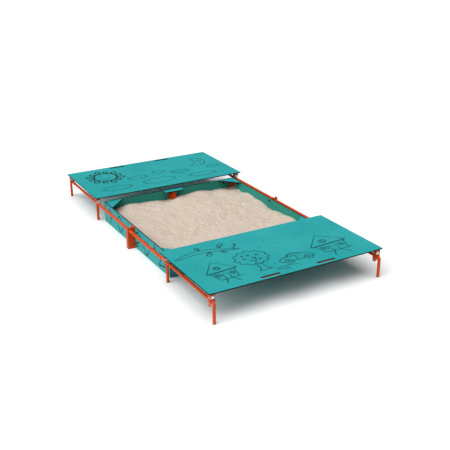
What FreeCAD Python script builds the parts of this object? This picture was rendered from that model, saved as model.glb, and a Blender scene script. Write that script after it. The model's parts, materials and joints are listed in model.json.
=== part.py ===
import FreeCAD, Part

# Sandbox with a cover in two halves that slide apart on tube rails.
#
# +X runs along the rails and towards the front end, +Y to the right-hand side, +Z up. The origin
# is on the ground under the centre of the box. The covers are drawn fully open.

import math
import os
import re

import Sketcher
from FreeCAD import Placement, Rotation, Vector

SIZES = {
    # the box
    "box_length": 2000,          # outside, along the rails
    "box_width": 2000,           # outside, across the rails
    "wall_height": 276,
    "board": 13,                 # thickness of every laminate board
    "sand_depth": 165,
    "sand_gap": 0.5,             # sand to the walls
    # corner and middle seats
    "seat_leg": 237,             # along each wall, from the inside corner
    "seat_tip": 12,              # blunted tips of the corner seats
    "seat_gap": 1,
    "mid_seat_width": 280,
    "mid_seat_depth": 88,
    # folded steel inside the box
    "plate": 4,                  # thickness of all folded steel
    "angle_leg": 46,
    "arm_setback": 61,           # seat's tip to the end of the arm beneath it
    "arm_drop": 40,
    "post_width": 57,
    "post_depth": 74,
    "post_flange": 30,
    # rails and legs
    "tube": 35,                  # outside diameter
    "tube_wall": 2.5,
    "rail_drop": 36,             # top of the wall to the rail's axis
    "rail_gap": 69,              # outside of the wall to the rail's axis
    "inner_leg_gap": 79,         # end of the box to the axis of an inner leg
    "bend_radius": 24,           # of the tube's axis
    "weld_gap": 0.05,
    "cap_flange": 6,
    "cap_plug": 18,
    "plug_fit": 0.1,
    "bracket_width": 56,
    "bracket_reach": 30,         # beyond the rail's axis
    "bracket_rise": 2,           # above the wall
    "bracket_lid": 50,
    "rail_hole_fit": 0.5,
    # covers
    "cover_overhang": 48,        # beyond the rail's axis
    "closed_overhang": 162,      # closed cover beyond the end of the box
    "open_overlap": 22,          # open cover's inner edge inside the end of the box
    "cover_corner": 6,
    "open_setback": 10,          # open cover's outer edge, inside the end leg's axis
    "slot_length": 238,
    "slot_width": 36,
    "slot_radius": 8,
    "slot_inset": 52,            # outer edge to the middle of the slot
    "slot_offset": 360,          # middle of the cover to the middle of the slot
    # carriages
    "outer_inset": 45,           # cover's outer edge to the outer axle
    "inner_inset": 64,           # cover's inner edge to the inner axle
    "carriage_length": 54,
    "side_gap": 2,               # roller to side plate
    "hook_drop": 42,             # underside of the rail to the tip of the hook
    "hook_round": 18,            # corners of the hook's tip
    "carriage_lip": 14,          # end flange below the web, away from the beam
    "short_drop": 17,            # side plate below the inner axle
    "short_round": 14,
    "hook_bolt_gap": 5,          # rail to the bolt beneath it
    "axle_drop": 52,             # cover's underside to the axle
    "beam": 30,
    "beam_wall": 2,
    "beam_gap": 14,              # side plate to the cross beam
    # rollers
    "roller_width": 42,
    "roller_waist": 46,          # diameter where it runs on the rail
    "roller_rim": 52,
    "roller_gap": 0.3,
    # fasteners
    "bolt": 8,
    "bolt_fit": 0.2,
    "bolt_cap": 22,
    "bolt_cap_height": 8,
    "axle": 10,
    "axle_fit": 0.05,
    "screw": 6,
    "screw_fit": 0.2,
    "screw_grip": 9,
    "screw_head": 12,
    "screw_head_height": 4,
    "corner_bolt": 24,           # inside corner to the post's bolts
    "seat_bolt_inset": 18,       # end of the arm to its bolt
    "low_bolt": 31,              # height of the lower bolts
    "high_bolt_drop": 44,        # top of the wall to the upper bolts
    "bracket_bolt": 80,          # height of the side bracket's lower bolt
    "beam_screw": 600,           # from the middle of the beam
}

# Places worked out from the sizes, as expressions.
RAIL_Y = "(box_width / 2 + rail_gap)"
RAIL_Z = "(wall_height - rail_drop)"
INSIDE_X = "(box_length / 2 - board)"
INSIDE_Y = "(box_width / 2 - board)"
SEAT_UNDER = "(wall_height - board)"
INNER_LEG_X = "(box_length / 2 + inner_leg_gap)"
ARM_LENGTH = "(seat_leg - arm_setback)"
SEAT_BOLT = f"({ARM_LENGTH} - seat_bolt_inset)"
HIGH_BOLT = "(wall_height - high_bolt_drop)"
BRACKET_TOP = "(wall_height + bracket_rise)"
AXLE_Z = f"({RAIL_Z} + tube / 2 + roller_gap + roller_waist / 2)"
UNDERSIDE = f"({AXLE_Z} + axle_drop)"
COVER_HALF_WIDTH = f"({RAIL_Y} + cover_overhang)"
INNER_EDGE = "(box_length / 2 - open_overlap)"
OUTER_EDGE = f"({INNER_EDGE} + box_length / 2 + closed_overhang)"
END_LEG_X = f"({OUTER_EDGE} + open_setback)"
OUTER_AXLE_X = f"({OUTER_EDGE} - outer_inset)"
INNER_AXLE_X = f"({INNER_EDGE} + inner_inset)"
HOOK_BOLT_Z = f"({RAIL_Z} - tube / 2 - hook_bolt_gap - axle / 2)"
HOOK_BOTTOM = f"({RAIL_Z} - tube / 2 - hook_drop)"
CARRIAGE_HALF = "(roller_width / 2 + side_gap + plate)"
BEAM_OFFSET = "(carriage_length / 2 + beam_gap + beam / 2)"

SIDES = (("left", -1), ("right", 1))
ENDS = (("front", 0), ("rear", 180))

document = FreeCAD.newDocument("SandboxWithCover")
sheet = document.addObject("Spreadsheet::Sheet", "Sizes")
parts = []


def fill_sheet():
    """Writes each driving size into the sheet under its own name."""
    for row, (name, value) in enumerate(SIZES.items(), start=1):
        sheet.set(f"A{row}", name)
        sheet.set(f"B{row}", str(value))
        sheet.setAlias(f"B{row}", name)
    document.recompute()


def bound(text):
    """The expression with each size's name turned into a reference to the sheet."""
    return re.sub(r"[a-z_]{2,}", lambda word: f"Sizes.{word.group()}", str(text))


def size(text):
    """The expression's present value."""
    return float(sheet.evalExpression(bound(text)))


def keep(shape_object, label):
    """Names a finished piece and lists it for export."""
    shape_object.Label = label
    parts.append(shape_object)
    return shape_object


def place(shape_object, x="0", y="0", z="0", turn=0):
    """Puts a piece at x, y, z (expressions), turned by whole degrees about Z."""
    shape_object.Placement = Placement(Vector(size(x), size(y), size(z)), Rotation(Vector(0, 0, 1), turn))
    for axis, text in zip("xyz", (x, y, z)):
        shape_object.setExpression(f"Placement.Base.{axis}", bound(text))


def new_body(label):
    return keep(document.addObject("PartDesign::Body", label), label)


def new_sketch(body, plane, offset="0"):
    """A sketch on one of the body's own planes, moved along the plane's normal."""
    sketch = body.newObject("Sketcher::SketchObject", "Sketch")
    origin_plane = next(item for item in body.Origin.OriginFeatures if item.Role == plane)
    sketch.AttachmentSupport = [(origin_plane, "")]
    sketch.MapMode = "FlatFace"
    sketch.AttachmentOffset = Placement(Vector(0, 0, size(offset)), Rotation())
    sketch.setExpression("AttachmentOffset.Base.z", bound(offset))
    return sketch


def drive(sketch, kind, elements, text):
    """Adds a dimension whose value is an expression."""
    index = sketch.addConstraint(Sketcher.Constraint(kind, *elements, size(text)))
    sketch.setExpression(f"Constraints[{index}]", bound(text))


def locate(sketch, geometry, point, x, y):
    """Fixes a point of the sketch at x, y from its origin."""
    for kind, axis, text in (("DistanceX", -2, x), ("DistanceY", -1, y)):
        if text == "0":
            sketch.addConstraint(Sketcher.Constraint("PointOnObject", geometry, point, axis))
        else:
            drive(sketch, kind, (-1, 1, geometry, point), text)


def outline(sketch, corners):
    """A closed outline of straight lines through corners given as pairs of expressions."""
    points = [Vector(size(x), size(y), 0) for x, y in corners]
    first = sketch.GeometryCount
    following = [first + (index + 1) % len(points) for index in range(len(points))]
    for start, end in zip(points, points[1:] + points[:1]):
        sketch.addGeometry(Part.LineSegment(start, end))
    for index, corner in enumerate(corners):
        sketch.addConstraint(Sketcher.Constraint("Coincident", first + index, 2, following[index], 1))
        locate(sketch, first + index, 1, *corner)


def rectangle(sketch, x_low, x_high, y_low, y_high):
    outline(sketch, [(x_low, y_low), (x_high, y_low), (x_high, y_high), (x_low, y_high)])


def circle(sketch, x, y, diameter):
    centre = Vector(size(x), size(y), 0)
    index = sketch.addGeometry(Part.Circle(centre, Vector(0, 0, 1), size(diameter) / 2))
    locate(sketch, index, 3, x, y)
    drive(sketch, "Diameter", (index,), diameter)


def extrude(body, plane, low, high, shapes, cut=False):
    """Pads or pockets outlines between two levels along the plane's axis.

    shapes is a list of (function, arguments) that draw into the sketch. The XZ plane's normal
    points to -Y, so there the sketch starts at the higher level.
    """
    offset = f"-({high})" if plane == "XZ_Plane" else low
    sketch = new_sketch(body, plane, offset)
    for draw, arguments in shapes:
        draw(sketch, *arguments)
    volume_before = body.Shape.Volume if cut else 0
    feature = body.newObject("PartDesign::Pocket" if cut else "PartDesign::Pad", "Extrusion")
    feature.Profile = sketch
    feature.Reversed = cut
    feature.Length = size(f"({high}) - ({low})")
    feature.setExpression("Length", bound(f"({high}) - ({low})"))
    document.recompute()
    if cut and not body.Shape.Volume < volume_before:
        raise RuntimeError(f"{body.Label}: a pocket removed nothing")
    return feature


def round_edges(body, direction, radius, wanted):
    """Fillets the body's straight edges along a direction whose middle point passes a test."""
    base = body.Tip
    names = []
    for index, edge in enumerate(base.Shape.Edges, start=1):
        straight = isinstance(edge.Curve, Part.Line) and abs(edge.Curve.Direction.dot(direction)) > 0.999
        if straight and wanted(edge.CenterOfMass):
            names.append(f"Edge{index}")
    fillet = body.newObject("PartDesign::Fillet", "Fillet")
    fillet.Base = (base, names)
    fillet.Radius = size(radius)
    fillet.setExpression("Radius", bound(radius))
    document.recompute()


def bolt_solid(head_point, direction, length, diameter, cap, cap_height, nut=True):
    """A bolt along a direction, with a domed cap at its head and at its nut.

    The grip starts at head_point and is length long.
    """
    shank_start = head_point - direction * (cap_height / 2)
    shank = Part.makeCylinder(diameter / 2, length + cap_height, shank_start, direction)
    half = cap_height / 2
    pieces = []
    ends = [(head_point, -direction)]
    if nut:
        ends.append((head_point + direction * length, direction))
    for point, outward in ends:
        pieces.append(Part.makeCylinder(cap / 2, half, point, outward))
        pieces.append(Part.makeCone(cap / 2, cap / 3, half, point + outward * half, outward))
    return shank.fuse(pieces).removeSplitter()


def group(label, solids, turn=0):
    """One piece made of many separate, equal fasteners."""
    feature = document.addObject("Part::Feature", label)
    feature.Shape = Part.makeCompound(solids)
    feature.Placement = Placement(Vector(), Rotation(Vector(0, 0, 1), turn))
    return keep(feature, label)


# --- the box ---------------------------------------------------------------------------------


CORNER_BOLTS = (("corner_bolt", "low_bolt"), ("corner_bolt", HIGH_BOLT), (SEAT_BOLT, HIGH_BOLT))


def wall_frames():
    """Label, half length, turn, x and y of each wall's outer face, seen from outside."""
    half_length = "(box_length / 2)"
    half_width = "(box_width / 2)"
    yield "left_wall", half_length, 0, "0", f"-{half_width}"
    yield "right_wall", half_length, 180, "0", half_width
    yield "front_wall", INSIDE_Y, 90, half_length, "0"
    yield "rear_wall", INSIDE_Y, -90, f"-{half_length}", "0"


def wall_bolt_places(label):
    """The (x, z) of every bolt through a wall, in the wall's own frame."""
    inside = INSIDE_X if label in ("left_wall", "right_wall") else INSIDE_Y
    places = []
    for sign in ("-", ""):
        for inset, height in CORNER_BOLTS:
            places.append((f"{sign}({inside} - {inset})", height))
    if label in ("front_wall", "rear_wall"):
        for sign in ("-", ""):
            for height in ("low_bolt", HIGH_BOLT):
                places.append((f"{sign}(post_width / 2 + post_flange / 2)", height))
    return places


def make_walls():
    """Four boards. The side walls run the full length; the end walls stand between them."""
    for label, half, turn, x, y in wall_frames():
        wall = new_body(label)
        extrude(wall, "XZ_Plane", "0", "board", [(rectangle, (f"-{half}", half, "0", "wall_height"))])
        holes = wall_bolt_places(label)
        if label in ("left_wall", "right_wall"):
            holes = holes + [("0", "bracket_bolt"), ("0", RAIL_Z)]
        drawings = [(circle, (hole_x, hole_z, "bolt + 2 * bolt_fit")) for hole_x, hole_z in holes]
        extrude(wall, "XZ_Plane", "0", "board", drawings, cut=True)
        place(wall, x, y, "0", turn)


def corner_frames():
    """Label, turn, x and y of each inside corner; its frame's +X and +Y run along the walls."""
    yield "rear_left", 0, f"-{INSIDE_X}", f"-{INSIDE_Y}"
    yield "front_left", 90, INSIDE_X, f"-{INSIDE_Y}"
    yield "front_right", 180, INSIDE_X, INSIDE_Y
    yield "rear_right", -90, f"-{INSIDE_X}", INSIDE_Y


FAR_SCREW = f"{ARM_LENGTH} * 0.65"
SEAT_SCREWS = (("30", "30"), (FAR_SCREW, "30"), ("30", FAR_SCREW))


def make_corner_brackets():
    """An angle post, a three-cornered plate under the seat and a flange along each wall."""
    plate_bottom = f"({SEAT_UNDER} - plate)"
    for name, turn, x, y in corner_frames():
        bracket = new_body(f"{name}_corner_bracket")
        angle = [("0", "0"), ("angle_leg", "0"), ("angle_leg", "plate"), ("plate", "plate"),
                 ("plate", "angle_leg"), ("0", "angle_leg")]
        extrude(bracket, "XY_Plane", "0", plate_bottom, [(outline, (angle,))])
        gusset = [("0", "0"), (ARM_LENGTH, "0"), (ARM_LENGTH, "seat_tip"), ("seat_tip", ARM_LENGTH),
                  ("0", ARM_LENGTH)]
        extrude(bracket, "XY_Plane", plate_bottom, SEAT_UNDER, [(outline, (gusset,))])
        flange = (rectangle, ("0", ARM_LENGTH, f"{SEAT_UNDER} - arm_drop", plate_bottom))
        drawings = [(circle, (along, height, "bolt + 2 * bolt_fit")) for along, height in CORNER_BOLTS]
        for plane in ("XZ_Plane", "YZ_Plane"):
            extrude(bracket, plane, "0", "plate", [flange])
            extrude(bracket, plane, "0", "plate", drawings, cut=True)
        screws = [(circle, (screw_x, screw_y, "screw + 2 * screw_fit")) for screw_x, screw_y in SEAT_SCREWS]
        extrude(bracket, "XY_Plane", plate_bottom, SEAT_UNDER, screws, cut=True)
        place(bracket, x, y, "0", turn)


def make_corner_seats():
    for name, turn, x, y in corner_frames():
        seat = new_body(f"{name}_corner_seat")
        triangle = [("seat_gap", "seat_gap"), ("seat_leg", "seat_gap"), ("seat_leg", "seat_gap + seat_tip"),
                    ("seat_gap + seat_tip", "seat_leg"), ("seat_gap", "seat_leg")]
        extrude(seat, "XY_Plane", SEAT_UNDER, "wall_height", [(outline, (triangle,))])
        screws = [(circle, (screw_x, screw_y, "screw + 2 * screw_fit")) for screw_x, screw_y in SEAT_SCREWS]
        extrude(seat, "XY_Plane", SEAT_UNDER, f"{SEAT_UNDER} + screw_grip + 1", screws, cut=True)
        place(seat, x, y, "0", turn)


MID_SCREWS = (("-post_width / 4", "post_depth / 2"), ("post_width / 4", "post_depth / 2"))


def make_middle_seats():
    """At each end wall a small board on a hat-section post."""
    half = "post_width / 2"
    back = f"({SEAT_UNDER} - plate)"
    hat = [(f"-{half} - post_flange", "0"), (f"-{half} + plate", "0"), (f"-{half} + plate", "post_depth - plate"),
           (f"{half} - plate", "post_depth - plate"), (f"{half} - plate", "0"), (f"{half} + post_flange", "0"),
           (f"{half} + post_flange", "plate"), (half, "plate"), (half, "post_depth"), (f"-{half}", "post_depth"),
           (f"-{half}", "plate"), (f"-{half} - post_flange", "plate")]
    screws = [(circle, (screw_x, screw_y, "screw + 2 * screw_fit")) for screw_x, screw_y in MID_SCREWS]
    bolts = [(circle, (f"{sign}({half} + post_flange / 2)", height, "bolt + 2 * bolt_fit"))
             for sign in ("-", "") for height in ("low_bolt", HIGH_BOLT)]
    for name, turn, x in (("front", 90, INSIDE_X), ("rear", -90, f"-{INSIDE_X}")):
        post = new_body(f"{name}_middle_post")
        extrude(post, "XY_Plane", "0", back, [(outline, (hat,))])
        extrude(post, "XY_Plane", back, SEAT_UNDER, [(rectangle, (f"-{half}", half, "0", "post_depth"))])
        extrude(post, "XZ_Plane", "0", "plate", bolts, cut=True)
        extrude(post, "XY_Plane", back, SEAT_UNDER, screws, cut=True)
        place(post, x, "0", "0", turn)
        seat = new_body(f"{name}_middle_seat")
        board = (rectangle, ("-mid_seat_width / 2", "mid_seat_width / 2", "seat_gap", "mid_seat_depth"))
        extrude(seat, "XY_Plane", SEAT_UNDER, "wall_height", [board])
        extrude(seat, "XY_Plane", SEAT_UNDER, f"{SEAT_UNDER} + screw_grip + 1", screws, cut=True)
        place(seat, x, "0", "0", turn)


def turned(vector, turn):
    return Rotation(Vector(0, 0, 1), turn).multVec(vector)


def make_box_fasteners():
    """Capped bolts through the walls, and screws up into the seats."""
    steel = size("plate")
    board = size("board")
    cap = (size("bolt_cap"), size("bolt_cap_height"))
    bolts = []
    for label, _, turn, x, y in wall_frames():
        base = Vector(size(x), size(y), 0)
        for bolt_x, bolt_z in wall_bolt_places(label):
            point = base + turned(Vector(size(bolt_x), 0, size(bolt_z)), turn)
            bolts.append(bolt_solid(point, turned(Vector(0, 1, 0), turn), board + steel, size("bolt"), *cap))
    group("wall_bolts", bolts)
    bracket_bolts = []
    for _, side in SIDES:
        for height in ("bracket_bolt", RAIL_Z):
            point = Vector(0, side * (size("box_width / 2") + steel), size(height))
            bracket_bolts.append(bolt_solid(point, Vector(0, -side, 0), board + steel, size("bolt"), *cap))
    group("bracket_bolts", bracket_bolts)
    frames = [(turn, x, y, SEAT_SCREWS) for _, turn, x, y in corner_frames()]
    frames += [(90, INSIDE_X, "0", MID_SCREWS), (-90, f"-{INSIDE_X}", "0", MID_SCREWS)]
    screws = []
    for turn, x, y, places in frames:
        base = Vector(size(x), size(y), size(f"{SEAT_UNDER} - plate"))
        for screw_x, screw_y in places:
            point = base + turned(Vector(size(screw_x), size(screw_y), 0), turn)
            screws.append(screw_solid(point, steel + size("screw_grip")))
    group("seat_screws", screws)


def screw_solid(point, length):
    """A screw driven straight up, its head below the point."""
    shank = Part.makeCylinder(size("screw / 2"), length, point)
    head_start = point - Vector(0, 0, size("screw_head_height"))
    head = Part.makeCylinder(size("screw_head / 2"), size("screw_head_height"), head_start)
    return shank.fuse(head).removeSplitter()


def make_sand():
    """The fill, cut around the steel and the bolts that stand in it."""
    block = document.addObject("Part::Box", "SandBlock")
    for name, text in (("Length", f"2 * ({INSIDE_X} - sand_gap)"), ("Width", f"2 * ({INSIDE_Y} - sand_gap)"),
                       ("Height", "sand_depth")):
        block.setExpression(name, bound(text))
    place(block, f"-({INSIDE_X} - sand_gap)", f"-({INSIDE_Y} - sand_gap)")
    hollows = []
    for sign, start in (("-", f"-{INSIDE_X}"), ("", f"{INSIDE_X} - post_depth")):
        hollow = document.addObject("Part::Box", "PostHollow")
        for name, text in (("Length", "post_depth"), ("Width", "post_width"), ("Height", "sand_depth")):
            hollow.setExpression(name, bound(text))
        place(hollow, start, "-post_width / 2")
        hollows.append(hollow)
    standing = [item for item in parts if item.Label.endswith(("bracket", "post", "bolts"))]
    obstacles = document.addObject("Part::Compound", "Obstacles")
    obstacles.Links = standing + hollows
    sand = document.addObject("Part::Cut", "Sand")
    sand.Base = block
    sand.Tool = obstacles
    document.recompute()
    keep(sand, "sand")


# --- rails -----------------------------------------------------------------------------------


def rail_path(sketch):
    """Up one end leg, along the rail and down the other, with a bend at each corner."""
    half = size(END_LEG_X)
    top = size(RAIL_Z)
    foot = size("cap_flange")
    radius = size("bend_radius")
    left_centre = Vector(radius - half, top - radius, 0)
    right_centre = Vector(half - radius, top - radius, 0)
    upward = Vector(0, 0, 1)
    sketch.addGeometry(Part.LineSegment(Vector(-half, foot, 0), Vector(-half, top - radius, 0)))
    sketch.addGeometry(Part.ArcOfCircle(Part.Circle(left_centre, upward, radius), math.pi / 2, math.pi))
    sketch.addGeometry(Part.LineSegment(Vector(radius - half, top, 0), Vector(half - radius, top, 0)))
    sketch.addGeometry(Part.ArcOfCircle(Part.Circle(right_centre, upward, radius), 0, math.pi / 2))
    sketch.addGeometry(Part.LineSegment(Vector(half, top - radius, 0), Vector(half, foot, 0)))
    for first, first_end, second, second_end in ((0, 2, 1, 2), (1, 1, 2, 1), (2, 2, 3, 2), (3, 1, 4, 1)):
        sketch.addConstraint(Sketcher.Constraint("Tangent", first, first_end, second, second_end))
    sketch.addConstraint(Sketcher.Constraint("Horizontal", 2))
    locate(sketch, 0, 1, f"-{END_LEG_X}", "cap_flange")
    locate(sketch, 4, 2, END_LEG_X, "cap_flange")
    drive(sketch, "Radius", (1,), "bend_radius")
    drive(sketch, "Radius", (3,), "bend_radius")
    drive(sketch, "DistanceY", (-1, 1, 2, 1), RAIL_Z)


def make_rails():
    """One bent tube on each side: the rail and its two end legs."""
    for name, side in SIDES:
        rail = new_body(f"{name}_guide_rail")
        path = new_sketch(rail, "XZ_Plane")
        rail_path(path)
        section = new_sketch(rail, "XY_Plane", "cap_flange")
        circle(section, f"-{END_LEG_X}", "0", "tube")
        circle(section, f"-{END_LEG_X}", "0", "tube - 2 * tube_wall")
        sweep = rail.newObject("PartDesign::AdditivePipe", "Sweep")
        sweep.Profile = section
        sweep.Spine = (path, [])
        document.recompute()
        place(rail, "0", f"{side} * {RAIL_Y}")


def make_inner_legs():
    """Legs welded under the rails just outside the ends of the box."""
    for end, turn in ENDS:
        for name, side in SIDES:
            leg = new_body(f"{end}_{name}_inner_leg")
            ring = [(circle, ("0", "0", "tube")), (circle, ("0", "0", "tube - 2 * tube_wall"))]
            extrude(leg, "XY_Plane", "cap_flange", RAIL_Z, ring)
            saddle = [(circle, ("0", RAIL_Z, "tube + 2 * weld_gap"))]
            extrude(leg, "YZ_Plane", "-tube", "tube", saddle, cut=True)
            sign = 1 if turn == 0 else -1
            place(leg, f"{sign} * {INNER_LEG_X}", f"{side} * {RAIL_Y}")


def make_foot_caps():
    """A plastic cap plugged into the foot of every leg."""
    flange = size("cap_flange")
    plug_radius = size("tube / 2 - tube_wall - plug_fit")
    caps = []
    for x in (size(END_LEG_X), size(INNER_LEG_X)):
        for y in (size(RAIL_Y), -size(RAIL_Y)):
            for sign in (1, -1):
                foot = Vector(sign * x, y, 0)
                disc = Part.makeCylinder(size("tube / 2"), flange, foot)
                plug = Part.makeCylinder(plug_radius, flange + size("cap_plug"), foot)
                caps.append(disc.fuse(plug).removeSplitter())
    group("foot_caps", caps)


def make_side_brackets():
    """A channel at mid-length that the rail passes through, bolted to the side wall."""
    half = "bracket_width / 2"
    for name, side in SIDES:
        bracket = new_body(f"{name}_side_bracket")
        wall_y = f"{side} * box_width / 2"
        inner_y = f"{side} * (box_width / 2 + plate)"
        face_y = f"{side} * ({RAIL_Y} + bracket_reach)"
        front_y = f"{side} * ({RAIL_Y} + bracket_reach - plate)"
        lid_y = f"{side} * (box_width / 2 + bracket_lid)"
        channel = [(f"-{half}", wall_y), (half, wall_y), (half, face_y), (f"-{half}", face_y),
                   (f"-{half}", front_y), (f"{half} - plate", front_y), (f"{half} - plate", inner_y),
                   (f"-{half}", inner_y)]
        extrude(bracket, "XY_Plane", "0", BRACKET_TOP, [(outline, (channel,))])
        lid = [(f"-{half}", wall_y), (half, wall_y), (half, lid_y), (f"-{half}", lid_y)]
        extrude(bracket, "XY_Plane", f"{BRACKET_TOP} - plate", BRACKET_TOP, [(outline, (lid,))])
        rail_hole = [(circle, (f"{side} * {RAIL_Y}", RAIL_Z, "tube + 2 * rail_hole_fit"))]
        extrude(bracket, "YZ_Plane", f"{half} - plate", half, rail_hole, cut=True)
        bolts = [(circle, ("0", height, "bolt + 2 * bolt_fit")) for height in ("bracket_bolt", RAIL_Z)]
        low, high = (wall_y, inner_y) if side > 0 else (inner_y, wall_y)
        extrude(bracket, "XZ_Plane", low, high, bolts, cut=True)
        place(bracket)


# --- covers ----------------------------------------------------------------------------------


def cover_screw_places():
    """The (x, y) of every screw up into a cover: two on each carriage, three on each beam."""
    places = []
    for axle_x, inward in ((OUTER_AXLE_X, "-"), (INNER_AXLE_X, "+")):
        for _, side in SIDES:
            for sign in ("-", "+"):
                places.append((f"{axle_x} {sign} carriage_length / 4", f"{side} * {RAIL_Y}", "plate"))
        for step in ("-", "0 *", ""):
            places.append((f"{axle_x} {inward} {BEAM_OFFSET}", f"{step} beam_screw", "beam"))
    return places


def make_panel(end, turn):
    """The cover's board, with two hand slots near its outer edge."""
    panel = new_body(f"{end}_cover_panel")
    top = f"{UNDERSIDE} + board"
    extrude(panel, "XY_Plane", UNDERSIDE, top,
            [(rectangle, (INNER_EDGE, OUTER_EDGE, f"-{COVER_HALF_WIDTH}", COVER_HALF_WIDTH))])
    round_edges(panel, Vector(0, 0, 1), "cover_corner", lambda point: True)
    slot_x = f"({OUTER_EDGE} - slot_inset)"
    slots = []
    for _, side in SIDES:
        low = f"{side} * slot_offset - slot_length / 2"
        high = f"{side} * slot_offset + slot_length / 2"
        slots.append((rectangle, (f"{slot_x} - slot_width / 2", f"{slot_x} + slot_width / 2", low, high)))
    extrude(panel, "XY_Plane", UNDERSIDE, top, slots, cut=True)
    slot_middle = size(slot_x)
    reach = size("slot_width")
    side_edge = size(COVER_HALF_WIDTH) - reach
    round_edges(panel, Vector(0, 0, 1), "slot_radius",
                lambda point: abs(point.x - slot_middle) < reach and abs(point.y) < side_edge)
    screws = [(circle, (x, y, "screw + 2 * screw_fit")) for x, y, _ in cover_screw_places()]
    extrude(panel, "XY_Plane", UNDERSIDE, f"{UNDERSIDE} + screw_grip + 1", screws, cut=True)
    place(panel, turn=turn)


def make_beams(end, turn):
    """Square tubes across the cover that join its left and right carriages."""
    half = "beam / 2"
    hollow = "(beam / 2 - beam_wall)"
    middle = f"({UNDERSIDE} - beam / 2)"
    reach = f"({RAIL_Y} + {CARRIAGE_HALF})"
    for position, axle_x, inward in (("outer", OUTER_AXLE_X, "-"), ("inner", INNER_AXLE_X, "+")):
        beam = new_body(f"{end}_{position}_beam")
        x = f"({axle_x} {inward} {BEAM_OFFSET})"
        squares = [(rectangle, (f"{x} - {size_half}", f"{x} + {size_half}", f"{middle} - {size_half}",
                                f"{middle} + {size_half}")) for size_half in (half, hollow)]
        extrude(beam, "XZ_Plane", f"-{reach}", reach, squares)
        screws = [(circle, (x, f"{step} beam_screw", "screw + 2 * screw_fit")) for step in ("-", "0 *", "")]
        extrude(beam, "XY_Plane", f"{UNDERSIDE} - beam", UNDERSIDE, screws, cut=True)
        place(beam, turn=turn)


def make_carriage(label, x, y, turn, towards_beam, bottom, rounding, hooked):
    """An inverted channel under the cover that holds one roller over the rail."""
    carriage = new_body(label)
    half_length = "carriage_length / 2"
    inner = f"({CARRIAGE_HALF} - plate)"
    extrude(carriage, "XZ_Plane", f"-{CARRIAGE_HALF}", CARRIAGE_HALF,
            [(rectangle, (f"-{half_length}", half_length, bottom, UNDERSIDE))])
    level = size(bottom)
    round_edges(carriage, Vector(0, 1, 0), rounding, lambda point: abs(point.z - level) < 1)
    extrude(carriage, "YZ_Plane", f"-{half_length}", half_length,
            [(rectangle, (f"-{inner}", inner, f"{bottom} - 1", f"{UNDERSIDE} - plate"))], cut=True)
    web = f"({UNDERSIDE} - plate)"
    lip = (f"({half_length} - plate)", half_length) if towards_beam < 0 else (f"-{half_length}",
                                                                              f"-({half_length} - plate)")
    extrude(carriage, "YZ_Plane", *lip, [(rectangle, (f"-{inner}", inner, f"{web} - carriage_lip", web))])
    tab_end = f"{half_length} + beam_gap"
    near, far = (half_length, tab_end) if towards_beam > 0 else (f"-({tab_end})", f"-{half_length}")
    extrude(carriage, "XY_Plane", f"{UNDERSIDE} - plate", UNDERSIDE,
            [(rectangle, (near, far, f"-{CARRIAGE_HALF}", CARRIAGE_HALF))])
    holes = [(circle, ("0", AXLE_Z, "axle + 2 * axle_fit"))]
    if hooked:
        holes.append((circle, ("0", HOOK_BOLT_Z, "axle + 2 * axle_fit")))
    extrude(carriage, "XZ_Plane", f"-{CARRIAGE_HALF}", CARRIAGE_HALF, holes, cut=True)
    screws = [(circle, (f"{sign} carriage_length / 4", "0", "screw + 2 * screw_fit")) for sign in ("-", "")]
    extrude(carriage, "XY_Plane", f"{UNDERSIDE} - plate", UNDERSIDE, screws, cut=True)
    place(carriage, x, y, "0", turn)


def make_roller(label, x, y):
    """A roller whose groove is round like the rail, on a plain bore."""
    drum = document.addObject("Part::Cylinder", "Drum")
    drum.setExpression("Radius", bound("roller_rim / 2"))
    drum.setExpression("Height", bound("roller_width"))
    groove = document.addObject("Part::Torus", "Groove")
    groove.setExpression("Radius1", bound("roller_waist / 2 + roller_gap + tube / 2"))
    groove.setExpression("Radius2", bound("tube / 2 + roller_gap"))
    groove.setExpression("Placement.Base.z", bound("roller_width / 2"))
    bore = document.addObject("Part::Cylinder", "Bore")
    bore.setExpression("Radius", bound("axle / 2 + axle_fit"))
    bore.setExpression("Height", bound("roller_width"))
    grooved = document.addObject("Part::Cut", "Grooved")
    grooved.Base = drum
    grooved.Tool = groove
    roller = document.addObject("Part::Cut", "Roller")
    roller.Base = grooved
    roller.Tool = bore
    lying = Rotation(Vector(1, 0, 0), 90)
    start = (x, f"{y} + roller_width / 2", AXLE_Z)
    roller.Placement = Placement(Vector(*(size(text) for text in start)), lying)
    for axis, text in zip("xyz", start):
        roller.setExpression(f"Placement.Base.{axis}", bound(text))
    document.recompute()
    keep(roller, label)


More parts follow.
